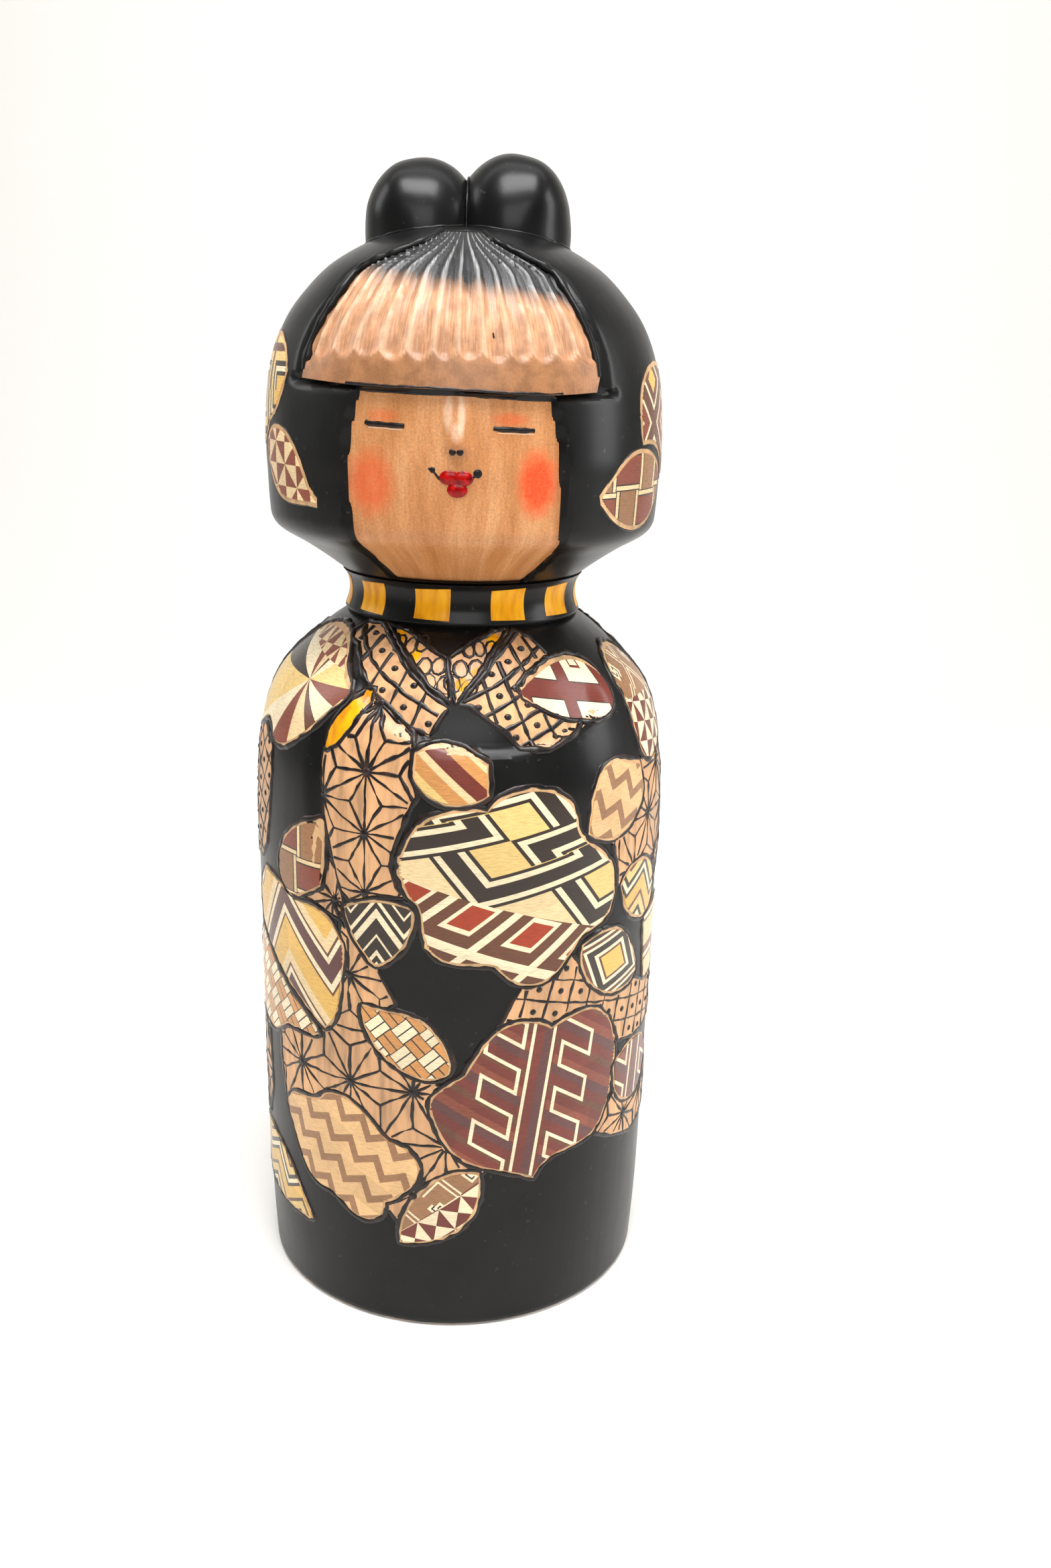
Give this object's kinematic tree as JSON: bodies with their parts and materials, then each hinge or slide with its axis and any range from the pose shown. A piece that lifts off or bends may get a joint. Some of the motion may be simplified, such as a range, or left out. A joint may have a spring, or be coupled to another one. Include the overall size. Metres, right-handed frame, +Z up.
{
  "type": "kokeshi doll",
  "caption": "Turned wooden doll with a turning head on a hidden dowel, two hair buns, a neck ring and parquetry inlays let into black lacquered wood.",
  "frame": {"origin": "centre of the flat base", "axes": "+Z up along the turning axis, the face looks towards -Y, +X to the right of a person facing the doll"},
  "size_m": [0.0772, 0.0772, 0.21],
  "materials": {
    "black_lacquer": "satin black lacquer over turned hardwood, bare and burnt in where it is carved",
    "plain_wood": "bare fine-grained hardwood, oiled",
    "parquetry_pale": "cream and brown parquetry, clear satin varnish",
    "parquetry_yellow": "yellow and dark parquetry, clear satin varnish",
    "parquetry_brown": "grey-brown and terracotta parquetry with pale strings, clear satin varnish",
    "parquetry_red": "red-brown parquetry with cream strings, clear satin varnish",
    "parquetry_dark": "dark brown and cream parquetry, clear satin varnish"
  },
  "bodies": {
    "torso": {"back_breast_cross": "parquetry_red", "back_elbow_basket": "parquetry_brown", "back_heart_fret": "parquetry_dark", "back_hem_chevron": "parquetry_yellow", "back_hem_leaf": "parquetry_brown", "back_hem_zigzag": "parquetry_pale", "back_hip_chevron": "parquetry_yellow", "back_lap_fret": "parquetry_red", "back_shoulder_spiral": "parquetry_brown", "back_shoulder_star": "parquetry_pale", "back_sleeve_stripe": "parquetry_dark", "back_sleeve_zigzag": "parquetry_pale", "back_waist_herringbone": "parquetry_pale", "body_block": "black_lacquer", "breast_cross": "parquetry_red", "elbow_basket_left": "parquetry_brown", "heart_fret": "parquetry_dark", "hem_chevron_left": "parquetry_yellow", "hem_leaf": "parquetry_brown", "hem_zigzag_left": "parquetry_pale", "hip_chevron": "parquetry_yellow", "hip_herringbone": "parquetry_pale", "hip_meander_right": "parquetry_dark", "knee_fret_right": "parquetry_red", "lap_fret": "parquetry_red", "neck_band": "black_lacquer", "sash_block": "parquetry_yellow", "shoulder_spiral_right": "parquetry_brown", "shoulder_star_left": "parquetry_pale", "side_panel_right": "parquetry_pale", "sleeve_stripe": "parquetry_dark", "sleeve_zigzag": "parquetry_pale", "waist_chevron_right": "parquetry_yellow", "waist_herringbone": "parquetry_pale"},
    "head": {"head_block": "black_lacquer", "neck_dowel": "plain_wood", "left_bun": "black_lacquer", "right_bun": "black_lacquer", "left_bun_peg": "plain_wood", "right_bun_peg": "plain_wood", "temple_fret_left": "parquetry_yellow", "cheek_leaf_left": "parquetry_pale", "temple_diamond_right": "parquetry_brown", "cheek_leaf_right": "parquetry_brown", "nape_leaf_left": "parquetry_pale", "nape_leaf_right": "parquetry_brown", "nape_diamond": "parquetry_red"}
  },
  "joints": [
    {"name": "head_turn", "type": "hinge", "parent": "torso", "child": "head", "pos_m": [0, 0, 0.1381], "axis": [0, 0, 1], "continuous": true}
  ]
}
